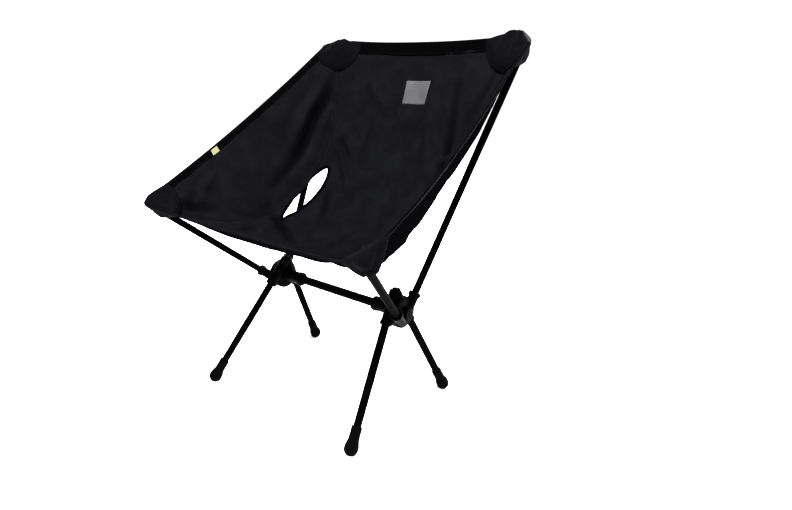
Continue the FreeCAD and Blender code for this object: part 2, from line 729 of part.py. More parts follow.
def vent_cutter(tag, side):
    """Leaf-shaped block that cuts a vent beside the seam."""
    body = new_body("vent_" + tag)
    sketch = sketch_on(body, "XY_Plane", "vent_outline_" + tag)
    half = size("vent_length") / 2
    ends = (Vector(-half, 0, 0), Vector(half, 0, 0))
    inner = Vector(0, side * size("vent_inner"), 0)
    outer = Vector(0, -side * size("vent_outer"), 0)
    for crest in (inner, outer):
        sketch.addGeometry(Part.Arc(ends[0], crest, ends[1]))
    pad = body.newObject("PartDesign::Pad", "vent_block_" + tag)
    pad.Profile = sketch
    pad.Length = VENT_BLOCK
    pad.Midplane = True
    body.Tip = pad
    low = seat_point(VENT_ACROSS * side, VENT_ENDS[0])
    high = seat_point(VENT_ACROSS * side, VENT_ENDS[1])
    way = (high - low).normalize()
    middle = sum(VENT_ENDS) / 2
    inward = seat_point(VENT_SPAN[0] * side, middle) - seat_point(VENT_SPAN[1] * side, middle)
    normal = way.cross(inward).normalize() * side
    square = normal.cross(way)
    frame = FreeCAD.Matrix(way.x, square.x, normal.x, 0, way.y, square.y, normal.y, 0,
                           way.z, square.z, normal.z, 0, 0, 0, 0, 1)
    body.Placement = Placement((low + high) / 2, Placement(frame).Rotation)
    return body


def make_seat():
    """Seat panel with its two vents, and the folded hems at the front and the top."""
    room = clearances()
    columns = spread(-1, 1, 21)
    panel = cloth_solid("seat_sheet", seat_point, columns, spread(0.022, 0.978, 25),
                        -size("cloth"))
    vents = [vent_cutter(tag, side) for tag, side in SIDES]
    tools = fused("seat_cutouts", [room] + vents)
    keep(cut("seat_cut", panel, tools), "seat_panel")
    front = cloth_solid("front_hem_sheet", seat_point, columns, spread(0.0, 0.0205, 4),
                        -size("hem_cloth"))
    keep(cut("front_hem_cut", front, room), "front_hem")
    top = cloth_solid("top_hem_sheet", seat_point, columns, spread(0.9795, 1.0, 4),
                      -size("hem_cloth"))
    keep(cut("top_hem_cut", top, room), "top_hem")
    return room


def make_side(tag, side, room):
    """Side panel and its folded hem."""
    def panel_point(outward, ratio):
        return wing_point(outward, ratio, side)

    rows = spread(0.02, 0.985, 25)
    wing = cloth_solid("side_sheet_" + tag, panel_point, spread(0.03, 0.925, 9), rows,
                       -size("cloth") * side)
    keep(cut("side_cut_" + tag, wing, room), "side_panel_" + tag)
    hem = cloth_solid("side_hem_sheet_" + tag, panel_point, spread(0.93, 1.0, 4), rows,
                      -size("hem_cloth") * side)
    keep(cut("side_hem_cut_" + tag, hem, room), "side_hem_" + tag)


def make_patches():
    """Blank woven label on the backrest and a small blank tag on the left side hem.

    Both lie on the sitter's side, a fraction of a millimetre off the cloth.
    """
    def label_point(across, ratio):
        return seat_point(across, ratio) + Vector(0, -0.3, 0.1)

    half = size("label_half")
    rows = spread(size("label_low"), size("label_high"), 4)
    label = cloth_solid("label_sheet", label_point, spread(-half, half, 5), rows,
                        size("patch_thickness"))
    keep(label, "seat_label")

    def tag_point(outward, ratio):
        return wing_point(outward, ratio, -1) + Vector(0.3, 0, 0.1)

    rows = spread(size("tag_low"), size("tag_high"), 4)
    tag = cloth_solid("tag_sheet", tag_point, spread(0.99 - size("tag_depth"), 0.99, 4), rows,
                      -size("patch_thickness"))
    keep(tag, "side_tag")


doc.recompute()
floor = floor_block()
make_crossbar()
for tag, side in SIDES:
    make_hub(tag, side)
    make_hub_fixings(tag, side)
    make_leg("front_leg", tag, side, floor)
    make_leg("back_leg", tag, side, floor)
    make_front_pole(tag, side)
    make_back_pole(tag, side)
room = make_seat()
for tag, side in SIDES:
    make_side(tag, side, room)
make_patches()


def check_document():
    """Stop if any feature failed or any piece isn't a sound solid."""
    for obj in doc.Objects:
        if "Invalid" in obj.State or "Error" in obj.State:
            raise RuntimeError("%s (%s) failed: %s" % (obj.Name, obj.Label, obj.State))
    for obj in nodes:
        if obj.Shape.isNull() or not obj.Shape.isValid() or obj.Shape.Volume <= 0:
            raise RuntimeError("%s is not a sound solid" % obj.Label)


doc.recompute()
check_document()
os.makedirs("parts", exist_ok=True)
for obj in nodes:
    obj.Shape.exportStep("parts/%s.step" % obj.Label)
    print("%-28s %9.0f mm3, %d solid(s)" % (obj.Label, obj.Shape.Volume, len(obj.Shape.Solids)))
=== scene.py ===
"""Looks of the ultralight backpacking chair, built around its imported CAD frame.

Metres, Z up, and the sitter faces -Y. The sling seat is made here, from the same curves as its CAD
solids; the frame's own parts keep their CAD shapes and get materials and small details.
"""
import json
import math

import bmesh
import bpy
import numpy as np
from mathutils import Matrix, Vector, noise
from mathutils.bvhtree import BVHTree


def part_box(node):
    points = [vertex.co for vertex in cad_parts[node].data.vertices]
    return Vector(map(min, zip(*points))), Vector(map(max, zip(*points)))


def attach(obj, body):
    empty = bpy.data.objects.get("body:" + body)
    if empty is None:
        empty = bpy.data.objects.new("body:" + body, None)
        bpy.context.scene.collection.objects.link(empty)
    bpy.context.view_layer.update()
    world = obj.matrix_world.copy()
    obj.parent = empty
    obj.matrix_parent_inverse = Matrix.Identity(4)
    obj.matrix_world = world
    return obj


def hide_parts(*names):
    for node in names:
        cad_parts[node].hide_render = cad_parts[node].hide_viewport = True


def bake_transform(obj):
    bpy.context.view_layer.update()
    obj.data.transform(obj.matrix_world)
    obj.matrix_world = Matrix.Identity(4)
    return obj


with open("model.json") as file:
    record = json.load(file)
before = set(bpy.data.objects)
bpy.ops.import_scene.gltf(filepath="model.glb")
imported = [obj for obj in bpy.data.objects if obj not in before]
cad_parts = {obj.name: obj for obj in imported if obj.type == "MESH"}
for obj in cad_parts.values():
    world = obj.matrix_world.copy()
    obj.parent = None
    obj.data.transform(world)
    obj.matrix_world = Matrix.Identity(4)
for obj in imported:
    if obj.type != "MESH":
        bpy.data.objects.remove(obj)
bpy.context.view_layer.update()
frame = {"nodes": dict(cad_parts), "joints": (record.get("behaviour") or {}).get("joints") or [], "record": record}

MM = 0.001
SIDES = (("left", -1.0), ("right", 1.0))
NODES = frame["nodes"]
AXES = {j["name"][:-len("_pull")]: np.array(j["axis"], float) for j in frame["joints"]}


# ---------------------------------------------------------------- numbers and vectors

def unit(rows):
    rows = np.asarray(rows, float)
    return rows / np.maximum(np.linalg.norm(rows, axis=-1, keepdims=True), 1e-12)


def smooth(share):
    share = np.clip(share, 0, 1)
    return share * share * (3 - 2 * share)


def bezier(points, ratio):
    """Points of a cubic Bezier curve, one row for each ratio."""
    t = np.asarray(ratio, float)[..., None]
    a, b, c, d = (np.asarray(p, float) for p in points)
    return a * (1 - t) ** 3 + 3 * b * t * (1 - t) ** 2 + 3 * c * t ** 2 * (1 - t) + d * t ** 3


def lengths(path):
    """Distance along a path of points, from 0 at its first."""
    steps = np.linalg.norm(np.diff(path, axis=0), axis=1)
    return np.concatenate([[0], np.cumsum(steps)])


def resample(path, places, extra=()):
    """The path's points at distances along it, and rows that go with the points."""
    along = lengths(path)
    return [np.stack([np.interp(places, along, rows[:, k]) for k in range(rows.shape[1])], axis=1)
            for rows in (path, *extra)]


# ---------------------------------------------------------------- the sling's curves

def pole_tip(kind, tag):
    """Where a pole's tip ends, on the pole's own axis, and that axis."""
    node = {"front": "front_pole_", "back": "back_pole_upper_"}[kind] + tag
    axis = unit(AXES[node])
    low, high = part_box(node)
    middle = np.array((low + high) / 2)
    tip = np.array([v.co for v in NODES["%s_pole_tip_%s" % (kind, tag)].data.vertices])
    return middle + axis * ((tip - middle) @ axis).max(), axis


TIPS = {(kind, tag): pole_tip(kind, tag) for kind in ("front", "back") for tag, _ in SIDES}
FRONT = TIPS["front", "right"][0]
BACK_TIP = TIPS["back", "right"][0]
BACK = BACK_TIP + np.array((-0.79, -0.43, 0.43)) * 13 * MM
EDGE_FRONT = FRONT + np.array((0, -2, 4)) * MM
EDGE_BACK = BACK_TIP + np.array((16, -11, 5)) * MM
THIRD = (EDGE_BACK - EDGE_FRONT) / 3
EDGE = (EDGE_FRONT, EDGE_FRONT + THIRD + np.array((18, -13, -32.5)) * MM,
        EDGE_FRONT + THIRD * 2 + np.array((2.5, -3, -19.5)) * MM, EDGE_BACK)
SEAM = (FRONT, np.array((136, -55.5, 245)) * MM, np.array((118, 129.5, 333)) * MM, BACK)
MIDDLE = (np.array((0, FRONT[1] + 24 * MM, FRONT[2] - 22 * MM)),
          np.array((0, -85.5, 240)) * MM, np.array((0, 114.5, 230)) * MM,
          np.array((0, BACK[1], BACK[2] - 9 * MM)))
WING_SWELL = np.array((0.75, 0.25, -0.6)) * 64 * MM


def bare_sling(across, ratio):
    """The sling before its folds. across runs from -2 to 2: the side panels lie beyond -1 and 1."""
    across, ratio = np.broadcast_arrays(np.asarray(across, float), np.asarray(ratio, float))
    side = np.where(across < 0, -1.0, 1.0)
    reach = np.abs(across)
    middle, seam, edge = (bezier(line, ratio) for line in (MIDDLE, SEAM, EDGE))
    inner = np.minimum(reach, 1)[..., None]
    outward = np.clip(reach - 1, 0, 1)[..., None]
    power = 2.4 + 3.6 * (1 - ratio[..., None]) ** 8
    seat = middle + (seam - middle) * inner ** power
    seat[..., 0] = seam[..., 0] * inner[..., 0]
    rise = outward * (1 - outward) * (ratio * (1 - ratio))[..., None]
    wing = seam + (edge - seam) * outward + WING_SWELL * rise
    points = np.where((reach <= 1)[..., None], seat, wing)
    points[..., 0] *= side
    return points


def bare_normals(across, ratio):
    """Unit normals of the bare sling, towards the sitter."""
    step = 0.004
    a, r = np.broadcast_arrays(np.asarray(across, float), np.asarray(ratio, float))
    low_a, high_a = np.maximum(a - step, -2), np.minimum(a + step, 2)
    low_r, high_r = np.maximum(r - step, 0.0), np.minimum(r + step, 1.0)
    over = bare_sling(high_a, r) - bare_sling(low_a, r)
    up = bare_sling(a, high_r) - bare_sling(a, low_r)
    return unit(np.cross(over, up))


# Folds of the cloth: places along each as (across, ratio), then its width and height in millimetres.
# A negative height is a valley. They are not the same on both sides, as in any sewn chair.
FOLDS = (
    (((-1.12, 0.95), (-1.22, 0.90), (-1.37, 0.77), (-1.30, 0.63), (-1.26, 0.46)), 12, -9.0),
    (((-1.22, 0.95), (-1.36, 0.88), (-1.50, 0.76), (-1.46, 0.62)), 12, 6.0),
    (((-0.84, 0.75), (-0.67, 0.72), (-0.52, 0.685), (-0.40, 0.62)), 8, 5),
    (((-0.90, 0.78), (-0.76, 0.76), (-0.60, 0.74)), 6, -4.2),
    (((-1.15, 0.39), (-0.98, 0.39), (-0.82, 0.39), (-0.40, 0.352)), 12, -5.9),
    (((-1.30, 0.30), (-1.05, 0.31), (-0.80, 0.30)), 12, 4.6),
    (((0.24, 0.92), (0.30, 0.89), (0.43, 0.825), (0.59, 0.75), (0.72, 0.66)), 12, 5),
    (((0.50, 0.95), (0.60, 0.88), (0.72, 0.80), (0.80, 0.70)), 10, -5),
    (((1.15, 0.94), (1.26, 0.88), (1.38, 0.76), (1.36, 0.60)), 9, -6.5),
    (((1.25, 0.93), (1.42, 0.84), (1.52, 0.70)), 10, 5),
    (((1.20, 0.36), (1.00, 0.38), (0.78, 0.38), (0.45, 0.34)), 12, -5.5),
    (((1.28, 0.27), (1.02, 0.29), (0.78, 0.28)), 12, 4.2),
    (((-0.80, 0.045), (-0.60, 0.12), (-0.35, 0.20)), 12, 3.6),
    (((0.82, 0.045), (0.62, 0.13), (0.34, 0.22)), 12, 3.4),
    (((-1.35, 0.05), (-1.30, 0.13), (-1.20, 0.24)), 10, -4.2),
    (((1.35, 0.05), (1.32, 0.12), (1.22, 0.25)), 10, -4.2),
    (((-0.55, 0.93), (-0.40, 0.90), (-0.20, 0.885)), 9, 3.4),
    (((0.86, 0.40), (0.84, 0.50), (0.86, 0.66)), 7, 2.7),
    (((0.93, 0.95), (0.89, 0.91), (0.85, 0.87), (0.81, 0.82)), 8, -4.1),
    (((-0.93, 0.82), (-0.91, 0.74), (-0.92, 0.66)), 7, 3.4),
    (((0.44, 0.87), (0.46, 0.78), (0.52, 0.66), (0.60, 0.52)), 26, 6.5),
    (((0.62, 0.80), (0.74, 0.76), (0.90, 0.75)), 7, 3.5),
    (((0.60, 0.72), (0.75, 0.67), (0.92, 0.66)), 7, -3.5),
    (((-0.74, 0.62), (-0.62, 0.57), (-0.50, 0.50)), 8, -4.3),
    (((-0.66, 0.66), (-0.52, 0.61), (-0.42, 0.52)), 8, 4.1),
    (((-1.02, 0.34), (-0.92, 0.30), (-0.80, 0.24)), 8, -4.1),
    (((-0.88, 0.36), (-0.76, 0.31), (-0.66, 0.26)), 8, 3.8),
    (((0.10, 0.60), (0.16, 0.50), (0.20, 0.38)), 16, 4.1),
    (((-1.62, 0.20), (-1.48, 0.16), (-1.30, 0.14)), 9, -4.1),
    (((-1.75, 0.30), (-1.60, 0.22), (-1.46, 0.19)), 9, 3.5),
)


def fold_height(points, places, width, height):
    """How far one fold lifts each of the points off the bare sling, in metres."""
    marks = np.array(places, float)
    along = lengths(marks)
    even = np.linspace(0, along[-1], 60)
    line = resample(marks, even)[0]
    for _ in range(12):
        line[1:-1] = (line[:-2] + line[1:-1] * 2 + line[2:]) / 4
    crest = bare_sling(line[:, 0], line[:, 1])
    share = lengths(crest) / lengths(crest)[-1]
    near = np.full(len(points), 1.0)
    fade = np.zeros(len(points))
    for spot, part in zip(crest, share):
        gap = np.linalg.norm(points - spot, axis=1)
        closer = gap < near
        near[closer] = gap[closer]
        fade[closer] = math.sin(math.pi * (0.06 + 0.88 * part)) ** 0.7
    spread = near / (width * MM)
    crease = np.exp(-spread ** 2) - 0.35 * np.exp(-((spread - 1.9) ** 2))
    return height * MM * fade * crease


def relief(across, ratio):
    """The sling's folds and slack, in metres towards the sitter. It dies away at hems and seams."""
    shape = np.shape(across)
    a, r = np.ravel(across), np.ravel(ratio)
    bare = bare_sling(a, r)
    total = np.zeros(len(a))
    for places, width, height in FOLDS:
        total += fold_height(bare, places, width, height)
    slack = np.array([noise.noise(Vector(p) * 11) * 2.2 + noise.noise(Vector(p) * 34) * 1.1
                      for p in bare])
    total += slack * MM
    edge = 16 * MM
    gaps = (np.linalg.norm(bare - bare_sling(np.sign(a) * 2, r), axis=1),
            np.linalg.norm(bare - bare_sling(a, np.zeros_like(r)), axis=1),
            np.linalg.norm(bare - bare_sling(a, np.ones_like(r)), axis=1))
    for gap in gaps:
        total *= smooth(gap / edge)
    seam = np.linalg.norm(bare - bare_sling(np.where(a < 0, -1.0, 1.0), r), axis=1)
    total *= 0.25 + 0.75 * smooth(seam / edge)
    return total.reshape(shape)


def sling(across, ratio):
    """Points of the sling's cloth on the sitter's side, with its folds, and the normals there."""
    normals = bare_normals(across, ratio)
    return bare_sling(across, ratio) + normals * relief(across, ratio)[..., None], normals


# ---------------------------------------------------------------- zones of cloth near the pole tips

def zone(kind, tag):
    """A corner's tip, and the direction from the sling out to it, between the two hems."""
    side = -1.0 if tag == "left" else 1.0
    here, other = (FRONT, BACK) if kind == "front" else (BACK, FRONT)
    middle = MIDDLE[0] if kind == "front" else MIDDLE[3]
    out = -unit(unit(middle - here) + unit(other - here))
    mirror = np.array((side, 1, 1))
    return here * mirror, out * mirror


def zones():
    """Name, the two bodies, and the planes between which the cloth passes from one to the other."""
    rows = []
    for tag, _ in SIDES:
        tip, out = zone("front", tag)
        rows.append(("front_" + tag, "root", "front_pole_" + tag,
                     tip - out * 150 * MM, tip - out * 42 * MM))
        tip, out = zone("back", tag)
        rows.append(("back_" + tag, "root", "back_pole_lower_" + tag,
                     tip - out * 152 * MM, tip - out * 92 * MM))
        rows.append(("top_" + tag, "back_pole_lower_" + tag, "back_pole_upper_" + tag,
                     tip - out * 84 * MM, tip - out * 38 * MM))
    return rows


ZONES = zones()


def grid_faces(rows, columns, closed=False):
    """Quads of a grid of points; closed joins its last column to its first."""
    index = np.arange(rows * columns).reshape(rows, columns)
    if closed:
        index = np.concatenate([index, index[:, :1]], axis=1)
    return np.stack([index[:-1, :-1], index[:-1, 1:], index[1:, 1:], index[1:, :-1]],
                    axis=-1).reshape(-1, 4)


def point_normals(points, faces):
    """Each point's normal, from the faces around it."""
    across = points[faces[:, 2]] - points[faces[:, 0]]
    up = points[faces[:, 3]] - points[faces[:, 1]]
    total = np.zeros_like(points)
    for corner in range(4):
        np.add.at(total, faces[:, corner], np.cross(across, up))
    return unit(total)


def new_mesh(name, points, faces, slot, normals=None, places=None):
    """A smooth-shaded piece, with its slot's material; places become its texture coordinates."""
    mesh = bpy.data.meshes.new(name)
    mesh.from_pydata(np.asarray(points).tolist(), [], [list(map(int, f)) for f in faces])
    mesh.polygons.foreach_set("use_smooth", [True] * len(mesh.polygons))
    if places is not None:
        owner = np.zeros(len(mesh.loops), int)
        mesh.loops.foreach_get("vertex_index", owner)
        layer = mesh.uv_layers.new(name="cloth")
        layer.data.foreach_set("uv", np.asarray(places, float)[owner].ravel())
    if normals is not None:
        mesh.normals_split_custom_set_from_vertices(np.asarray(normals).tolist())
    mesh.update()
    piece = bpy.data.objects.new(name, mesh)
    bpy.context.scene.collection.objects.link(piece)
    mesh.materials.append(MATERIALS[slot])
    return piece


def owners(points, groups):
    """The zone that each group of points belongs to, or -1 for the part that stays still."""
    owner = np.full(len(groups), -1)
    for index, (_, _, _, start, end) in enumerate(ZONES):
        way = end - start
        reached = ((points - start) @ way) > 0
        owner[reached[groups].any(axis=1)] = index
    return owner


def settle(piece, index):
    """Gives a piece outside every zone to the root body; a piece in a zone only has its transform baked into its
    mesh.
    """
    if index < 0:
        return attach(piece, "root")
    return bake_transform(piece)


def zone_name(name, index):
    return name if index < 0 else "%s_%s" % (name, ZONES[index][0])


def sew_cloth(name, slot, points, normals, places, faces, thick, painted_crease_shade):
    """A panel of cloth as closed shells, one for each zone."""
    owner = owners(points, faces)
    pieces = []
    for index in sorted(set(owner.tolist())):
        used, local = np.unique(faces[owner == index], return_inverse=True)
        local = local.reshape(-1, 4)
        count = len(used)
        front = points[used]
        back = front - normals[used] * thick
        edges = np.concatenate([local[:, [k, (k + 1) % 4]] for k in range(4)])
        keys = np.sort(edges, axis=1)
        _, first, times = np.unique(keys, axis=0, return_index=True, return_counts=True)
        rim = edges[first[times == 1]]
        sides = np.stack([rim[:, 1], rim[:, 0], rim[:, 0] + count, rim[:, 1] + count], axis=1)
        quads = np.concatenate([local, local[:, ::-1] + count, sides])
        piece = new_mesh(zone_name(name, index), np.concatenate([front, back]), quads, slot,
                         np.concatenate([normals[used], -normals[used]]),
                         np.concatenate([places[used], places[used]]))
        # Painted shade on each point: the fold-valley shade on the sitter's side, and full shade on the back face.
        painted_shade = piece.data.attributes.new("painted_shade", "FLOAT", "POINT")
        painted_shade.data.foreach_set("value", [*painted_crease_shade[used], *([1.0] * count)])
        settle(piece, index)
        pieces.append(piece)
    return pieces


def sew_tube(name, slot, rings, closed=False):
    """A swept strip from its rings of points, split at whole rings between zones."""
    rows, ring = rings.shape[:2]
    points = rings.reshape(-1, 3)
    table = np.arange(rows * ring).reshape(rows, ring)
    bands = np.concatenate([table[:-1], table[1:]], axis=1)
    owner = owners(points, bands)
    pieces = []
    start = 0
    while start < rows - 1:
        stop = start
        while stop < rows - 1 and owner[stop] == owner[start]:
            stop += 1
        part = rings[start:stop + 1]
        quads = grid_faces(len(part), ring, closed=True)
        if not closed:
            half = ring // 2
            caps = [[k, k + 1, ring - 2 - k, ring - 1 - k] for k in range(half - 1)]
            last = (len(part) - 1) * ring
            caps += [[last + ring - 1 - k, last + ring - 2 - k, last + k + 1, last + k]
                     for k in range(half - 1)]
            quads = np.concatenate([quads, np.array(caps)])
        flat = part.reshape(-1, 3)
        normals = point_normals(flat, grid_faces(len(part), ring, closed=True))
        round_it = np.concatenate([[0], np.cumsum(np.linalg.norm(
            np.diff(part[len(part) // 2], axis=0), axis=1))])
        along = lengths(part.mean(axis=1))
        places = np.stack(np.broadcast_arrays(along[:, None], round_it[None, :]), axis=-1)
        label = zone_name(name, owner[start])
        if bpy.data.objects.get(label):
            label += "_b"
        piece = new_mesh(label, flat, quads, slot, normals, places.reshape(-1, 2))
        settle(piece, owner[start])
        pieces.append(piece)
        start = stop
    return pieces


def sew_thread(name, path, normals, pitch=3.3, long=2.5, thick=0.3, body=None):
    """A row of stitches along a path on the cloth: short arched threads that dip into it.

    They are split by zone and settled as the cloth is, or all of them go with a body that is named.
    """
    total = lengths(path)[-1]
    count = max(2, int(total / (pitch * MM)))
    places = (np.arange(count) + 0.5) * total / count
    middles, ups = resample(path, places, (normals,))
    ahead = resample(path, np.minimum(places + 0.5 * MM, total))[0]
    behind = resample(path, np.maximum(places - 0.5 * MM, 0))[0]
    ways, ups = unit(ahead - behind), unit(ups)
    beside = unit(np.cross(ways, ups))
    stations = np.linspace(-0.5, 0.5, 5)
    ring = 6
    angles = np.arange(ring) * 2 * math.pi / ring
    arch = (np.cos(stations * math.pi) * 0.55 - 0.25) * MM
    core = (middles[:, None] + ways[:, None] * (stations * long * MM)[None, :, None]
            + ups[:, None] * arch[None, :, None])
    girth = (thick * MM * np.array((0.6, 0.95, 1, 0.95, 0.6)))[None, :, None, None]
    round_it = (beside[:, None, None] * np.cos(angles)[None, None, :, None]
                + ups[:, None, None] * np.sin(angles)[None, None, :, None])
    points = (core[:, :, None] + round_it * girth).reshape(-1, 3)
    one = grid_faces(len(stations), ring, closed=True)
    last = (len(stations) - 1) * ring
    ends = np.array([[3, 2, 1, 0], [5, 4, 3, 0], [last, last + 1, last + 2, last + 3],
                     [last, last + 3, last + 4, last + 5]])
    one = np.concatenate([one, ends])
    size = len(stations) * ring
    groups = np.arange(len(points)).reshape(count, size)
    owner = owners(points, groups) if body is None else np.full(count, -1)
    pieces = []
    for index in sorted(set(owner.tolist())):
        chosen = points.reshape(count, size, 3)[owner == index]
        faces = (one[None] + (np.arange(len(chosen)) * size)[:, None, None]).reshape(-1, 4)
        piece = new_mesh(zone_name(name, index), chosen.reshape(-1, 3), faces, "thread")
        pieces.append(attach(piece, body) if body else settle(piece, index))
    return pieces


# ---------------------------------------------------------------- materials

def make_nodes(material):
    tree = material.node_tree
    return tree.nodes, tree.links, tree.nodes["Principled BSDF"]


def finish_of(name, dark, light, rough, specular=0.5, metallic=0.0, sheen=0.0, coat_and_shade_mix=0.0,
              grain=60.0, bump=0.02, bump_scale=900.0, streak=(1, 1, 1)):
    """A procedural finish: two tones mixed by noise, uneven roughness, and a fine bump."""
    material = bpy.data.materials.new(name)
    material.use_nodes = True
    nodes, links, shader = make_nodes(material)
    place = nodes.new("ShaderNodeTexCoord")
    stretch = nodes.new("ShaderNodeMapping")
    stretch.inputs["Scale"].default_value = streak
    links.new(place.outputs["Object"], stretch.inputs["Vector"])
    cloud = nodes.new("ShaderNodeTexNoise")
    cloud.inputs["Scale"].default_value = grain
    cloud.inputs["Detail"].default_value = 4
    links.new(stretch.outputs["Vector"], cloud.inputs["Vector"])
    tone = nodes.new("ShaderNodeValToRGB")
    tone.color_ramp.elements[0].position = 0.3
    tone.color_ramp.elements[1].position = 0.7
    tone.color_ramp.elements[0].color = (*dark, 1)
    tone.color_ramp.elements[1].color = (*light, 1)
    links.new(cloud.outputs["Fac"], tone.inputs["Fac"])
    links.new(tone.outputs["Color"], shader.inputs["Base Color"])
    matte = nodes.new("ShaderNodeMapRange")
    matte.inputs["To Min"].default_value = rough[0]
    matte.inputs["To Max"].default_value = rough[1]
    links.new(cloud.outputs["Fac"], matte.inputs["Value"])
    links.new(matte.outputs["Result"], shader.inputs["Roughness"])
    fine = nodes.new("ShaderNodeTexNoise")
    fine.inputs["Scale"].default_value = bump_scale
    fine.inputs["Detail"].default_value = 3
    links.new(stretch.outputs["Vector"], fine.inputs["Vector"])
    press = nodes.new("ShaderNodeBump")
    press.inputs["Strength"].default_value = 0.6
    press.inputs["Distance"].default_value = bump * MM
    links.new(fine.outputs["Fac"], press.inputs["Height"])
    links.new(press.outputs["Normal"], shader.inputs["Normal"])
    shader.inputs["Metallic"].default_value = metallic
    shader.inputs["Specular IOR Level"].default_value = specular
    shader.inputs["Sheen Weight"].default_value = sheen
    shader.inputs["Coat Weight"].default_value = coat_and_shade_mix
    shader.inputs["Coat Roughness"].default_value = 0.12
    return material


def woven(name, dark, light, rough, sheen, specular, pitch=0.9, depth=0.12):
    """Plain-woven cloth: threads over and under at their real pitch, with uneven tone and painted shade."""
    material = bpy.data.materials.new(name)
    material.use_nodes = True
    nodes, links, shader = make_nodes(material)
    place = nodes.new("ShaderNodeUVMap")
    place.uv_map = "cloth"
    split = nodes.new("ShaderNodeSeparateXYZ")
    links.new(place.outputs["UV"], split.inputs["Vector"])
    turn = math.pi / (pitch * MM)

    def maths(kind, first, second):
        step = nodes.new("ShaderNodeMath")
        step.operation = kind
        for socket, given in zip(step.inputs, (first, second)):
            if isinstance(given, (int, float)):
                socket.default_value = given
            elif given is not None:
                links.new(given, socket)
        return step.outputs["Value"]

    wave_x = maths("SINE", maths("MULTIPLY", split.outputs["X"], turn), None)
    wave_y = maths("SINE", maths("MULTIPLY", split.outputs["Y"], turn), None)
    over = maths("MULTIPLY", wave_x, wave_y)
    gap_x = maths("ABSOLUTE", wave_x, None)
    gap_y = maths("ABSOLUTE", wave_y, None)
    height = maths("ADD", maths("MULTIPLY", over, 0.5),
                   maths("MULTIPLY", maths("ADD", gap_x, gap_y), 0.35))
    press = nodes.new("ShaderNodeBump")
    press.inputs["Strength"].default_value = 0.55
    press.inputs["Distance"].default_value = depth * MM
    links.new(height, press.inputs["Height"])
    links.new(press.outputs["Normal"], shader.inputs["Normal"])
    body = nodes.new("ShaderNodeTexCoord")
    cloud = nodes.new("ShaderNodeTexNoise")
    cloud.inputs["Scale"].default_value = 26
    cloud.inputs["Detail"].default_value = 5
    cloud.inputs["Roughness"].default_value = 0.6
    links.new(body.outputs["Object"], cloud.inputs["Vector"])
    slub = maths("ADD", maths("MULTIPLY", cloud.outputs["Fac"], 0.8), maths("MULTIPLY", over, 0.10))
    tone = nodes.new("ShaderNodeValToRGB")
    tone.color_ramp.elements[0].position = 0.25
    tone.color_ramp.elements[1].position = 0.60
    tone.color_ramp.elements[0].color = (*dark, 1)
    tone.color_ramp.elements[1].color = (*light, 1)
    links.new(slub, tone.inputs["Fac"])
    # Painted shade: the colour darkens towards 0.4 of the dark tone as the point's shade value rises, in fold
    # valleys and on the back face.
    painted_shade_amount = nodes.new("ShaderNodeAttribute")
    painted_shade_amount.attribute_name = "painted_shade"
    coat_and_shade_mix = nodes.new("ShaderNodeMixRGB")
    links.new(painted_shade_amount.outputs["Fac"], coat_and_shade_mix.inputs["Fac"])
    links.new(tone.outputs["Color"], coat_and_shade_mix.inputs["Color1"])
    coat_and_shade_mix.inputs["Color2"].default_value = (*(channel * 0.4 for channel in dark), 1)
    links.new(coat_and_shade_mix.outputs["Color"], shader.inputs["Base Color"])
    matte = nodes.new("ShaderNodeMapRange")
    matte.inputs["To Min"].default_value = rough[0]
    matte.inputs["To Max"].default_value = rough[1]
    links.new(cloud.outputs["Fac"], matte.inputs["Value"])
    links.new(matte.outputs["Result"], shader.inputs["Roughness"])
    shader.inputs["Sheen Weight"].default_value = sheen
    shader.inputs["Sheen Roughness"].default_value = 0.45
    shader.inputs["Specular IOR Level"].default_value = specular
    return material


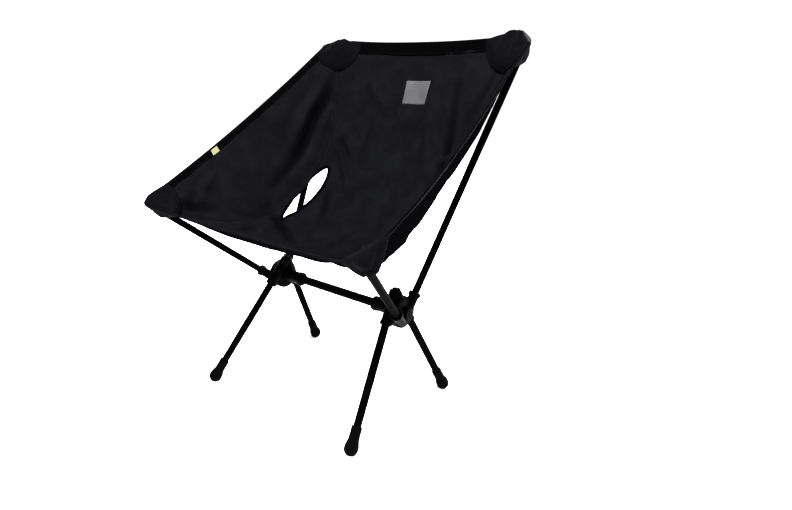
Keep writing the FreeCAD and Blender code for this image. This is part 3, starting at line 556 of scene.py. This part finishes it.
MATERIALS = {
    "seat_cloth": woven("seat_cloth", (0.0054, 0.0053, 0.0066), (0.0084, 0.0086, 0.0104),
                        (0.70, 0.85), 0.0, 0.0),
    "hem_cloth": woven("hem_cloth", (0.0007, 0.0007, 0.0008), (0.0013, 0.0013, 0.0015),
                       (0.60, 0.75), 0.0, 0.01, pitch=0.6, depth=0.08),
    "pocket_cloth": woven("pocket_cloth", (0.0030, 0.0029, 0.0036), (0.0051, 0.0050, 0.0060),
                          (0.60, 0.78), 0.0, 0.01, pitch=0.7, depth=0.10),
    "thread": finish_of("thread", (0.0035, 0.0035, 0.0040), (0.0060, 0.0060, 0.0066), (0.5, 0.7),
                        specular=0.1, grain=400, bump=0.03, bump_scale=2500),
    "frame_tube": finish_of("frame_tube", (0.0008, 0.0008, 0.0009), (0.0014, 0.0014, 0.0015),
                            (0.45, 0.58), specular=0.006, grain=35, bump=0.004, bump_scale=2600),
    "ferrule": finish_of("ferrule", (0.15, 0.15, 0.155), (0.21, 0.21, 0.215), (0.25, 0.40),
                         metallic=1.0, grain=90, bump=0.004, bump_scale=1800),
    "hub_plastic": finish_of("hub_plastic", (0.0010, 0.0010, 0.0011), (0.0016, 0.0016, 0.0018),
                             (0.34, 0.46), specular=0.02, grain=50, bump=0.012, bump_scale=1200),
    "cap_plastic": finish_of("cap_plastic", (0.0010, 0.0010, 0.0011), (0.0018, 0.0018, 0.0020),
                             (0.36, 0.48), specular=0.02, grain=60, bump=0.010, bump_scale=1400),
    "tip_plastic": finish_of("tip_plastic", (0.0020, 0.0020, 0.0022), (0.0032, 0.0032, 0.0034),
                             (0.40, 0.52), specular=0.15, grain=60, bump=0.010, bump_scale=1400),
    "foot_rubber": finish_of("foot_rubber", (0.0012, 0.0012, 0.0013), (0.0022, 0.0022, 0.0022),
                             (0.58, 0.78), specular=0.02, grain=70, bump=0.03, bump_scale=1500),
    "bolt": finish_of("bolt", (0.30, 0.30, 0.31), (0.42, 0.42, 0.43), (0.28, 0.42),
                      metallic=1.0, grain=120, bump=0.006, bump_scale=2000),
    "shock_cord": finish_of("shock_cord", (0.004, 0.004, 0.004), (0.030, 0.030, 0.032), (0.6, 0.8),
                            specular=0.15, sheen=0.1, grain=900, bump=0.08, bump_scale=1500),
    "label": woven("label", (0.048, 0.048, 0.050), (0.068, 0.068, 0.071), (0.55, 0.7), 0.05, 0.2,
                   pitch=0.35, depth=0.05),
    "tag": woven("tag", (0.13, 0.13, 0.06), (0.19, 0.19, 0.11), (0.5, 0.65), 0.05, 0.2,
                 pitch=0.35, depth=0.05),
}


def dress_nodes():
    """Every CAD node takes its slot's finish, in place of its plain one."""
    for part in frame["record"]["subparts"]:
        mesh = NODES[part["node"]].data
        mesh.materials.clear()
        mesh.materials.append(MATERIALS[part["material_slot"]])


# ---------------------------------------------------------------- the sling's panels

CLOTH = 1.1 * MM


def panel_grid(low, high, columns, first, last, rows):
    across = np.linspace(low, high, columns)
    ratio = np.linspace(first, last, rows)
    return np.meshgrid(across, ratio)


def near_tips(points, distance):
    """Which points lie within the hoods over the pole tips."""
    inside = np.zeros(len(points), bool)
    for kind in ("front", "back"):
        for tag, _ in SIDES:
            tip, _ = zone(kind, tag)
            inside |= np.linalg.norm(points - tip, axis=1) < distance
    return inside


VENT_HALF, VENT_INNER, VENT_OUTER = 76 * MM, 16 * MM, 17.5 * MM


def vent_frame(side):
    """Middle of a vent, its lengthwise direction, and the direction towards the seat's middle."""
    across = np.array((0.86, 0.86, 0.92, 0.70)) * side
    low, high, far, near = bare_sling(across, (0.40, 0.68, 0.54, 0.54))
    way = unit(high - low)
    normal = unit(np.cross(way, near - far))
    return (low + high) / 2, way, unit(np.cross(normal, way)), normal


def leaf_width(x):
    """The leaf's width along it, from its pointed lower end at -1 to its rounder top at 1."""
    return np.clip(1 - x ** 2, 0, None) ** 0.75 * (1 + 0.3 * x)


def vent_outline(count=90):
    """Points of the leaf on the flat of the vent: lengthwise, and towards the seat's middle."""
    turn = np.linspace(0, 2 * math.pi, count, endpoint=False)
    x = np.cos(turn)
    bulge = np.where(np.sin(turn) > 0, VENT_INNER, -VENT_OUTER)
    return np.stack([x * VENT_HALF, bulge * leaf_width(x)], axis=1)


def in_vent(points, side):
    middle, way, inward, _ = vent_frame(side)
    x = (points - middle) @ way / VENT_HALF
    y = (points - middle) @ inward
    room = leaf_width(x)
    return (np.abs(x) < 1) & (y < VENT_INNER * room) & (y > -VENT_OUTER * room)


def make_panel(name, low, high, columns, rows, nodes, vents=False):
    """One cloth panel of the sling between two lines across it."""
    across, ratio = panel_grid(low, high, columns, 0.0, 1.0, rows)
    points, normals = sling(across, ratio)
    bare = bare_sling(across, ratio)
    wide = np.cumsum(np.linalg.norm(np.diff(bare, axis=1, prepend=bare[:, :1]), axis=-1), axis=1)
    long = np.cumsum(np.linalg.norm(np.diff(bare, axis=0, prepend=bare[:1]), axis=-1), axis=0)
    middle_column = columns // 2
    places = np.stack([wide - wide[:, [middle_column]], long * 0 + long[:, [middle_column]]], axis=-1)
    faces = grid_faces(rows, columns)
    flat_points = points.reshape(-1, 3)
    upward = normals.reshape(-1, 3)
    normals = point_normals(flat_points, faces)
    normals *= np.sign((normals * upward).sum(axis=1, keepdims=True))
    centres = flat_points[faces].mean(axis=1)
    keep = ~near_tips(centres, 38 * MM)
    if vents:
        for _, side in SIDES:
            keep &= ~in_vent(centres, side)
    # Painted shade in the folds' valleys: how far the cloth's colour darkens where the relief dips.
    painted_crease_shade = np.clip((-relief(across, ratio) / MM - 1.2) / 6, 0, 1).ravel() * 0.9
    pieces = sew_cloth(name, "seat_cloth", flat_points, normals, places.reshape(-1, 2),
                       faces[keep], CLOTH, painted_crease_shade)
    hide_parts(*nodes)
    return pieces


def strip_rings(path, inward, normals, profile):
    """Rings of a strip along a path. The profile's points are millimetres inward and upward."""
    shape = np.array(profile, float) * MM
    return (path[:, None] + inward[:, None] * shape[None, :, :1]
            + normals[:, None] * shape[None, :, 1:])


def rounded_profile(inner, height, edge, base=-0.9):
    """A folded edge seen end on: flat faces, a round nose, and a dip where it is stitched."""
    top = [(inner, height * 0.35), (inner * 0.93, height * 0.75), (inner * 0.82, height * 0.62),
           (inner * 0.6, height * 0.95), (inner * 0.3, height), (0.0, height * 0.85)]
    nose = [(-edge * 0.75, height * 0.45), (-edge, base * 0.3), (-edge * 0.75, base * 1.2)]
    under = [(0.0, base * 1.9), (inner * 0.3, base * 2.0), (inner * 0.6, base * 1.9),
             (inner * 0.82, base * 1.6), (inner * 0.93, base * 1.75), (inner, base * 1.4)]
    return top + nose + under


def clear_of_tips(path, distance):
    """First and last index of a path's points that lie outside the hoods."""
    free = np.flatnonzero(~near_tips(path, distance))
    return free[0], free[-1] + 1


def edge_strip(name, across, ratio, inset, profile, slot, nodes=()):
    """A folded hem along one edge of the sling. inset moves a point of the edge to the inside."""
    path = bare_sling(across, ratio)
    inside = bare_sling(*inset(across, ratio))
    inward = unit(inside - path)
    normals = bare_normals(*inset(across, ratio))
    inward = unit(inward - normals * (inward * normals).sum(axis=1, keepdims=True))
    first, last = clear_of_tips(path, 36 * MM)
    rings = strip_rings(path, inward, normals, profile)[first:last]
    pieces = sew_tube(name, slot, rings)
    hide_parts(*nodes)
    return path[first:last], inward[first:last], normals[first:last]


def stitch_at(name, path, inward, normals, inset, lift):
    """A row of stitches parallel to a hem, some millimetres in from its edge."""
    line = path + inward * inset * MM + normals * lift * MM
    sew_thread(name, line, normals)


def make_hems():
    ratio = np.linspace(0, 1, 240)
    for tag, side in SIDES:
        across = np.full_like(ratio, 2 * side)
        line = edge_strip("side_hem_fold_" + tag, across, ratio,
                          lambda a, r: (a * 0.97, r), rounded_profile(13, 1.5, 1.6),
                          "hem_cloth", ["side_hem_" + tag])
        stitch_at("side_hem_stitch_" + tag, *line, 10.6, 1.0)
        stitch_at("side_hem_stitch_edge_" + tag, *line, 2.2, 1.35)
    across = np.linspace(-1, 1, 200)
    top = edge_strip("top_hem_fold", across, np.ones_like(across), lambda a, r: (a, r - 0.012),
                     rounded_profile(25, 2.6, 2.4), "hem_cloth", ["top_hem"])
    stitch_at("top_hem_stitch", *top, 20.5, 1.7)
    front = edge_strip("front_hem_fold", across, np.zeros_like(across),
                       lambda a, r: (a, r + 0.02), rounded_profile(12, 1.6, 1.8), "seat_cloth",
                       ["front_hem"])
    stitch_at("front_hem_stitch", *front, 9.8, 1.1)
    stitch_at("front_hem_stitch_edge", *front, 2.4, 1.45)


def make_seams():
    """The sewn seams between the seat panel and the side panels, each a flat lapped strip."""
    ratio = np.linspace(0.02, 0.98, 260)
    for tag, side in SIDES:
        across = np.full_like(ratio, side)
        path, normals = sling(across, ratio)
        outer = bare_sling(across * 1.03, ratio)
        inward = unit(outer - bare_sling(across, ratio))
        normals = bare_normals(across * 1.03, ratio)
        first, last = clear_of_tips(path, 36 * MM)
        profile = [(-1.0, -0.2), (-0.6, 0.5), (0.4, 0.75), (4.5, 0.85), (8.6, 0.75), (9.4, 0.5),
                   (9.8, -0.3), (9.0, -1.6), (4.5, -1.9), (0.0, -1.7)]
        rings = strip_rings(path, inward, normals, profile)[first:last]
        sew_tube("panel_seam_" + tag, "seat_cloth", rings)
        for name, inset in (("inner", 1.3), ("outer", 7.7)):
            stitch_at("panel_seam_%s_stitch_%s" % (name, tag), path[first:last],
                      inward[first:last], normals[first:last], inset, 0.75)


def make_vents(surface):
    """Bound edges of the two vents, on the seat's cloth."""
    for tag, side in SIDES:
        middle, way, inward, normal = vent_frame(side)
        flat = vent_outline()
        path = []
        ups = []
        for x, y in flat:
            start = Vector(middle + way * x + inward * y + normal * 60 * MM)
            hit, up, _, _ = surface.ray_cast(start, Vector(-normal), 0.2)
            if hit is None:
                hit, up, _, _ = surface.find_nearest(start - Vector(normal * 60 * MM))
            path.append(hit)
            ups.append(up)
        path, ups = np.array(path), np.array(ups)
        ups = np.where((ups @ bare_normals(0.86 * side, 0.54))[:, None] < 0, -ups, ups)
        ways = unit(np.roll(path, -1, axis=0) - np.roll(path, 1, axis=0))
        outward = unit(np.cross(ways, ups))
        centre = path.mean(axis=0)
        outward *= np.sign(((path - centre) * outward).sum(axis=1, keepdims=True))
        profile = [(6.0, 0.3), (5.4, 0.85), (4.2, 0.75), (1.5, 1.0), (-0.4, 0.9), (-1.3, -0.2),
                   (-1.0, -1.6), (0.5, -2.2), (3.0, -2.2), (5.4, -2.0), (6.0, -1.5)]
        rings = strip_rings(path, outward, ups, profile)
        rings = np.concatenate([rings, rings[:1]])
        sew_tube("vent_binding_" + tag, "hem_cloth", rings, closed=True)
        line = np.concatenate([path, path[:1]]) + np.concatenate([outward, outward[:1]]) * 4.4 * MM
        ups = np.concatenate([ups, ups[:1]])
        sew_thread("vent_stitch_" + tag, line + ups * 0.7 * MM, ups, pitch=3.0)


def seat_surface():
    """The seat panel without its vents, to lay things on."""
    across, ratio = panel_grid(-1.0, 1.0, 120, 0.0, 1.0, 160)
    points, _ = sling(across, ratio)
    return BVHTree.FromPolygons([Vector(p) for p in points.reshape(-1, 3)],
                                grid_faces(160, 120).tolist())


# ---------------------------------------------------------------- hoods over the pole tips

def ball_points(count=60):
    """Even points on a ball of radius 1."""
    index = np.arange(count)
    height = 1 - 2 * (index + 0.5) / count
    flat = np.sqrt(1 - height ** 2)
    turn = index * math.pi * (3 - math.sqrt(5))
    return np.stack([flat * np.cos(turn), flat * np.sin(turn), height], axis=1)


BALL = ball_points()
# Where each hood bulges around its tip: outward, back and up in millimetres, then the radius.
HOOD_BALLS = {
    "front_left": (((0, 0, 0), 8), ((-2, 6, 8), 8.5)),
    "front_right": (((0, 0, 0), 8), ((-3, 5, 5), 8)),
    "back_left": (((-1, 0, 0), 9), ((-9, -5, 3), 8.5), ((-25, -6, 4), 7.5)),
    "back_right": (((-1, 0, 0), 9), ((-9, -7, 9), 9), ((-27, -6, 9), 8)),
}


def hood_points(kind, tag, side):
    """Points around a corner of the sling that its hood is stretched over."""
    tip, axis = TIPS[kind, tag]
    corner, _ = zone(kind, tag)
    points = []
    for offset, radius in HOOD_BALLS[kind + "_" + tag]:
        centre = tip - axis * 4 * MM + np.array(offset) * (side, 1, 1) * MM
        points += list(centre + BALL * radius * MM)
    beside = unit(np.cross(axis, (0.0, 0.0, 1.0) if kind == "front" else (0.0, 1.0, 0.0)))
    deep = unit(np.cross(axis, beside))
    for turn in np.linspace(0, 2 * math.pi, 24, endpoint=False):
        ring = beside * math.cos(turn) * 14 + deep * math.sin(turn) * 9.5
        points.append(tip - axis * 36 * MM + ring * MM)
    for share in np.linspace(0, 1, 13):
        reach = (62 if kind == "back" else 54) + 6 * math.sin(math.pi * share) + 6 * share
        for distance in (reach, reach * 0.75, 38):
            across, ratio = corner_place(kind, side, share, distance * MM, corner)
            spot = bare_sling(across, ratio)
            up = bare_normals(across, ratio)
            points += [spot + up * 2.2 * MM, spot - up * 3.0 * MM]
    return np.array(points)


def corner_place(kind, side, share, distance, corner):
    """Where on the sling a line out of a corner is that far from it: share 0 is the side hem, 1 the other."""
    ratios = np.linspace(0.0, 0.5, 400)
    if kind == "back":
        ratios = 1 - ratios
    if share <= 0.5:
        across = side * (2 - share * 2) * np.ones_like(ratios)
        gaps = np.linalg.norm(bare_sling(across, ratios) - corner, axis=1)
        index = int(np.argmax(gaps >= distance))
        return across[index], ratios[index]
    start_ratio = corner_place(kind, side, 0.5, distance, corner)[1]
    end = 0.0 if kind == "front" else 1.0
    ratio = start_ratio + (end - start_ratio) * (share - 0.5) * 2
    acrosses = side * np.linspace(1, 0, 400)
    gaps = np.linalg.norm(bare_sling(acrosses, np.full(400, ratio)) - corner, axis=1)
    index = int(np.argmax(gaps >= distance))
    return acrosses[index], ratio


def make_hood(kind, tag, side):
    """Fabric hood over a pole's tip: a hull over tip, hems and sleeve, relaxed and puckered."""
    mesh = bmesh.new()
    for point in hood_points(kind, tag, side):
        mesh.verts.new(point)
    hull = bmesh.ops.convex_hull(mesh, input=mesh.verts)
    loose = {g for g in hull["geom_interior"] + hull["geom_unused"]
             if isinstance(g, bmesh.types.BMVert)}
    bmesh.ops.delete(mesh, geom=list(loose), context="VERTS")
    data = bpy.data.meshes.new("hull")
    mesh.to_mesh(data)
    mesh.free()
    shell = bpy.data.objects.new("hull", data)
    bpy.context.scene.collection.objects.link(shell)
    remesh = shell.modifiers.new("remesh", "REMESH")
    remesh.mode = "VOXEL"
    remesh.voxel_size = 1.5 * MM
    relax = shell.modifiers.new("relax", "SMOOTH")
    relax.iterations = 6
    graph = bpy.context.evaluated_depsgraph_get()
    done = bpy.data.meshes.new_from_object(shell.evaluated_get(graph))
    bpy.data.objects.remove(shell)
    points = np.array([v.co for v in done.vertices])
    normals = np.array([v.normal for v in done.vertices])
    faces = [list(p.vertices) for p in done.polygons]
    tip, axis = TIPS[kind, tag]
    _, out = zone(kind, tag)
    flat = points - tip
    reach = np.linalg.norm(flat, axis=1)
    sideways = unit(np.cross(out, axis))
    turn = np.arctan2(flat @ sideways, -(flat @ out))
    pucker = np.cos(turn * 9 + 1.3 * side) + 0.6 * np.cos(turn * 17 + 2.1)
    strength = smooth((reach - 12 * MM) / (16 * MM)) * (1 - smooth((reach - 40 * MM) / (16 * MM)))
    points = points + normals * (pucker * strength)[:, None] * 1.3 * MM
    name = "%s_hood_%s" % (kind, tag)
    piece = new_mesh(name, points, faces, "pocket_cloth", None,
                     np.stack([turn * 30 * MM, reach], axis=1))
    body = {"front": "front_pole_", "back": "back_pole_upper_"}[kind] + tag
    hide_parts("%s_pole_pocket_%s" % (kind, tag))
    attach(piece, body)
    surface = BVHTree.FromPolygons([Vector(p) for p in points], faces)
    for row, distance in (("outer", 51), ("inner", 47)):
        stitch_hood("%s_stitch_%s" % (name, row), kind, side, distance, surface, body)


def stitch_hood(name, kind, side, distance, surface, body):
    """A row of stitches across a hood, where it is sewn down on the sling."""
    corner, _ = zone(kind, "left" if side < 0 else "right")
    path, normals = [], []
    for share in np.linspace(0.06, 0.94, 40):
        across, ratio = corner_place(kind, side, share, distance * MM, corner)
        up = Vector(bare_normals(across, ratio))
        start = Vector(bare_sling(across, ratio)) + up * 60 * MM
        hit, facing, _, _ = surface.ray_cast(start, -up, 0.08)
        if hit is not None:
            path.append(hit)
            normals.append(facing if facing.dot(up) > 0 else -facing)
    sew_thread(name, np.array(path), np.array(normals), pitch=3.0, body=body)


# ---------------------------------------------------------------- label and tag

def patch_on(name, slot, across_range, ratio_range, thick, lift, node):
    """A small woven patch lying on the cloth, with softly rounded edges."""
    across, ratio = panel_grid(*across_range, 40, *ratio_range, 30)
    points, normals = sling(across, ratio)
    u = np.linspace(-1, 1, 40)[None, :]
    v = np.linspace(-1, 1, 30)[:, None]
    edge = np.clip((1 - np.maximum(np.abs(u), np.abs(v))) * 9, 0, 1) ** 0.5
    top = points + normals * (lift + thick * edge)[..., None]
    bottom = points + normals * (lift - 0.5 * MM)
    faces = grid_faces(30, 40)
    count = 30 * 40
    table = np.arange(count).reshape(30, 40)
    ring = np.concatenate([table[0, :-1], table[:-1, -1], table[-1, :0:-1], table[:0:-1, 0]])
    after = np.roll(ring, -1)
    sides = np.stack([after, ring, ring + count, after + count], axis=1)
    quads = np.concatenate([faces, faces[:, ::-1] + count, sides])
    size = (points - points[0, 0]).reshape(-1, 3)
    wide = unit(points[0, -1] - points[0, 0])
    tall = unit(points[-1, 0] - points[0, 0])
    places = np.stack([size @ wide, size @ tall], axis=1)
    every = np.concatenate([top.reshape(-1, 3), bottom.reshape(-1, 3)])
    piece = new_mesh(name, every, quads, slot, None, np.concatenate([places, places]))
    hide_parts(node)
    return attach(piece, "root")


def make_patches():
    patch_on("blank_label", "label", (-0.065, 0.225), (0.897, 0.939), 0.5 * MM, 0.15 * MM,
             "seat_label")
    patch_on("hem_tag", "tag", (-1.985, -1.915), (0.330, 0.362), 0.8 * MM, 1.2 * MM, "side_tag")


# ---------------------------------------------------------------- shock cords

def make_cords():
    """Elastic cords inside the tubes, each laid along the axis of the tube that it lies in."""
    rows = []
    for tag, _ in SIDES:
        for kind in ("front_leg", "back_leg", "front_pole"):
            rows.append(("%s_cord_%s" % (kind, tag), "root", "%s_%s" % (kind, tag)))
        rows.append(("back_pole_cord_lower_" + tag, "root", "back_pole_lower_" + tag))
        rows.append(("back_pole_cord_upper_" + tag, "back_pole_lower_" + tag,
                     "back_pole_upper_" + tag))
    for node, first, second in rows:
        axis = unit(AXES[second])
        spots = np.array([v.co for v in NODES[node].data.vertices])
        middle = (spots.min(axis=0) + spots.max(axis=0)) / 2
        reach = (spots - middle) @ axis
        start, end = middle + axis * reach.min(), middle + axis * reach.max()
        total = float(reach.max() - reach.min())
        beside = unit(np.cross(axis, (0.31, 0.52, 0.79)))
        deep = np.cross(axis, beside)
        count = int(total / (2.2 * MM))
        turn = np.linspace(0, 2 * math.pi, 16, endpoint=False)
        places = np.linspace(0, total, count)
        bead = 1.28 + 0.12 * np.cos(4 * turn[None, :] + places[:, None] / (1.4 * MM)) \
            + 0.06 * np.cos(4 * turn[None, :] - places[:, None] / (1.4 * MM))
        bead[0] = bead[-1] = 0.7
        rings = (start + axis * places[:, None, None]
                 + (beside * np.cos(turn)[:, None] + deep * np.sin(turn)[:, None])[None]
                 * bead[..., None] * MM)
        quads = grid_faces(count, 16, closed=True)
        last = (count - 1) * 16
        caps = [[k, 15 - k, 14 - k, k + 1] for k in range(7)]
        caps += [[last + k, last + k + 1, last + 14 - k, last + 15 - k] for k in range(7)]
        piece = new_mesh("elastic_" + node, rings.reshape(-1, 3), np.concatenate([quads, caps]),
                         "shock_cord")
        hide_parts(node)
        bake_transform(piece)


# ---------------------------------------------------------------- studio

def make_studio():
    scene = bpy.context.scene
    scene.view_settings.view_transform = "Standard"
    scene.view_settings.gamma = 0.74
    floor_mesh = bpy.data.meshes.new("studio_floor")
    half = 9.0
    floor_mesh.from_pydata([(-half, -half, 0), (half, -half, 0), (half, half, 0), (-half, half, 0)],
                           [], [(0, 1, 2, 3)])
    floor = bpy.data.objects.new("studio_floor", floor_mesh)
    scene.collection.objects.link(floor)
    floor_mesh.materials.append(finish_of("studio_paper", (0.90, 0.90, 0.90), (0.92, 0.92, 0.92),
                                          (0.9, 0.95), specular=0.1, grain=3, bump=0.01))
    world = bpy.data.worlds.new("studio")
    scene.world = world
    world.use_nodes = True
    world.node_tree.nodes["Background"].inputs["Color"].default_value = (1, 1, 1, 1)
    world.node_tree.nodes["Background"].inputs["Strength"].default_value = 1.12
    for name, place, size, power in (
            ("key", (0.55, -1.35, 2.35), 0.45, 235), ("fill", (2.2, -1.0, 1.4), 1.6, 8),
            ("rim", (0.4, 2.2, 2.0), 1.2, 330), ("left", (-2.2, 0.6, 1.2), 1.2, 60)):
        light = bpy.data.lights.new(name, "AREA")
        light.energy = power
        light.size = size
        lamp = bpy.data.objects.new(name, light)
        scene.collection.objects.link(lamp)
        lamp.location = place
        aim = Vector((0, 0, 0.35)) - Vector(place)
        lamp.rotation_euler = aim.to_track_quat("-Z", "Y").to_euler()


def make_camera():
    """The photograph's view: from the front and the sitter's left, a little above the seat."""
    data = bpy.data.cameras.new("camera")
    data.sensor_width = 36
    data.lens = 26.83
    data.shift_x = 0.0249
    data.shift_y = 0.0147
    data.clip_start = 0.02
    camera = bpy.data.objects.new("camera", data)
    bpy.context.scene.collection.objects.link(camera)
    yaw, pitch, roll = (math.radians(v) for v in (39.99, -18.89, 0.29))
    turn = (Matrix.Rotation(yaw, 4, "Z") @ Matrix.Rotation(math.pi / 2 + pitch, 4, "X")
            @ Matrix.Rotation(roll, 4, "Z"))
    camera.matrix_world = Matrix.Translation((0.73663, -0.77638, 0.60116)) @ turn
    bpy.context.scene.camera = camera


make_camera()
make_studio()
dress_nodes()
make_panel("seat_panel_cloth", -1.0, 1.0, 170, 230, ["seat_panel"], vents=True)
for tag, side in SIDES:
    make_panel("side_panel_cloth_" + tag, min(side, side * 2), max(side, side * 2), 70, 230,
               ["side_panel_" + tag])
make_hems()
make_seams()
make_vents(seat_surface())
for tag, side in SIDES:
    make_hood("front", tag, side)
    make_hood("back", tag, side)
make_patches()
make_cords()
